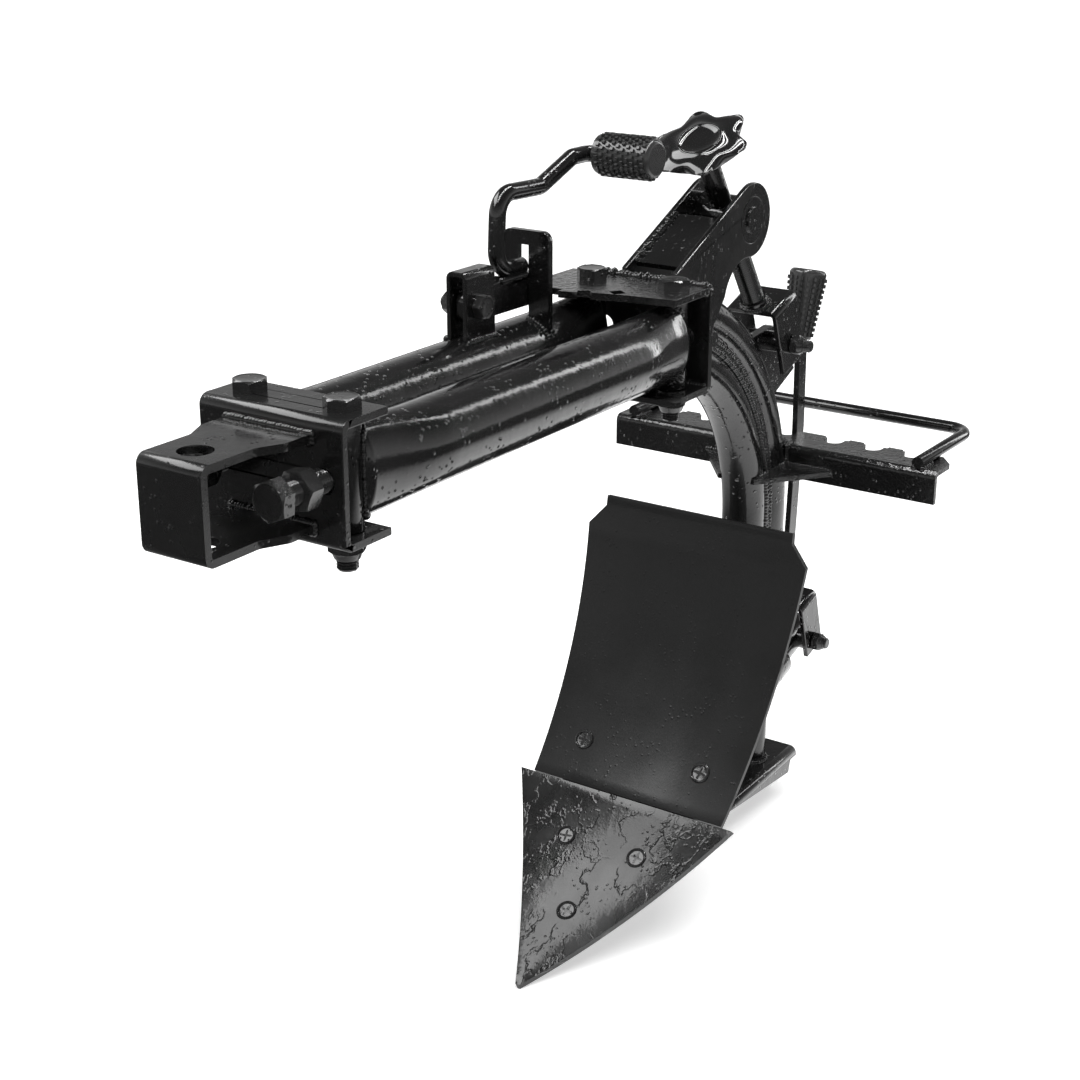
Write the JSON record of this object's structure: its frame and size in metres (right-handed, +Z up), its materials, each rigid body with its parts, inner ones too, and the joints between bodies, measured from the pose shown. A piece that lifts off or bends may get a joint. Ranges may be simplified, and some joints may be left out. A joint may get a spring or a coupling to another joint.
{
  "type": "turning moldboard plough",
  "caption": "One-share turning plough for a walking tractor: swinging twin-tube beam, depth screw, curved standard, tilting share and moldboard, two levers and a hitch.",
  "frame": {"origin": "middle of the hitch pin's bore, at half the bracket's height", "axes": "+X forward, +Y the plough's left, +Z up along the hitch pin"},
  "size_m": [0.9741, 0.36, 0.7431],
  "materials": {
    "black_paint": "gloss",
    "black_bolts": "gloss",
    "black_rubber": "matte",
    "black_plastic": "satin"
  },
  "bodies": {
    "hitch": {"drawbar_bracket": "black_paint", "hitch_channel": "black_paint", "stop_bolts": "black_bolts", "front_pivot_bolts": "black_bolts"},
    "left_link": {"left_beam_tube": "black_paint", "left_beam_sleeves": "black_paint"},
    "right_link": {"right_beam_tube": "black_paint", "right_beam_sleeves": "black_paint", "lever_bracket": "black_paint", "lever_guide": "black_paint", "lever_pivot_bolt": "black_bolts"},
    "width_lever": {"lever_arm": "black_paint", "lever_rod": "black_paint", "lever_grip": "black_rubber"},
    "yoke": {"yoke_back_plate": "black_paint", "notched_top_plate": "black_paint", "yoke_bottom_plate": "black_paint", "rear_pivot_bolts": "black_bolts", "cheek_left": "black_paint", "cheek_right": "black_paint", "cheek_cover": "black_paint", "standard_pivot_bolt": "black_bolts"},
    "trunnion": {"trunnion_nut": "black_paint"},
    "screw": {"depth_screw": "black_paint", "star_knob": "black_plastic", "screw_clevis": "black_paint"},
    "standard": {"standard_pivot_sleeve": "black_paint", "standard_front_tube": "black_paint", "standard_rear_tube": "black_paint", "screw_lug": "black_paint", "clevis_bolt": "black_bolts", "comb_bar": "black_paint", "guard_rod": "black_paint", "comb_gussets": "black_paint", "turning_boss": "black_paint", "sole_stay": "black_paint", "sole": "black_paint"},
    "plough_body": {"turning_shaft": "black_paint", "lever_hinge_bolt": "black_bolts", "share": "black_paint", "moldboard": "black_paint", "frog_plate": "black_paint", "frog_web": "black_paint", "share_bolts": "black_bolts", "moldboard_bolts": "black_bolts"},
    "turning_lever": {"turning_lever_clevis": "black_paint", "turning_lever_bar": "black_paint", "turning_lever_grip": "black_rubber"}
  },
  "joints": [
    {"name": "left_link_swing", "type": "hinge", "parent": "hitch", "child": "left_link", "pos_m": [-0.0992, 0.0414, 0], "axis": [0, 0, 1], "range_deg": [-35, 35]},
    {"name": "right_link_swing", "type": "hinge", "parent": "hitch", "child": "right_link", "pos_m": [-0.0992, -0.0414, 0], "axis": [0, 0, 1], "range_deg": [-35, 35]},
    {"name": "yoke_swing", "type": "hinge", "parent": "left_link", "child": "yoke", "pos_m": [-0.5404, 0.0414, 0], "axis": [0, 0, 1], "range_deg": [-35, 35]},
    {"name": "width_lever_lift", "type": "hinge", "parent": "right_link", "child": "width_lever", "pos_m": [-0.358, -0.041, 0.057], "axis": [0, 1, 0], "range_deg": [0, 12]},
    {"name": "standard_pitch", "type": "hinge", "parent": "yoke", "child": "standard", "pos_m": [-0.605, 0, -0.011], "axis": [0, 1, 0], "range_deg": [-7, 7]},
    {"name": "trunnion_turn", "type": "hinge", "parent": "yoke", "child": "trunnion", "pos_m": [-0.7045, 0, 0.078], "axis": [0, 1, 0], "range_deg": [-6.5, 6.5]},
    {"name": "screw_travel", "type": "slide", "parent": "trunnion", "child": "screw", "axis": [0.5637, 0, 0.826], "range_m": [-0.0175, 0.0175]},
    {"name": "body_turn", "type": "hinge", "parent": "standard", "child": "plough_body", "pos_m": [-0.3631, 0, -0.56299], "axis": [-0.9537, 0, 0.3009], "range_deg": [-31, 31]},
    {"name": "turning_lever_tilt", "type": "hinge", "parent": "plough_body", "child": "turning_lever", "pos_m": [-0.87903, 0, -0.40022], "axis": [0, -1, 0], "range_deg": [0, 8]}
  ],
  "couplings": [
    {"joint": "right_link_swing", "follows": "left_link_swing", "ratio": 1},
    {"joint": "yoke_swing", "follows": "left_link_swing", "ratio": -1},
    {"joint": "trunnion_turn", "follows": "standard_pitch", "ratio": 0.8981},
    {"joint": "screw_travel", "follows": "standard_pitch", "m_per_rad": 0.13212}
  ]
}
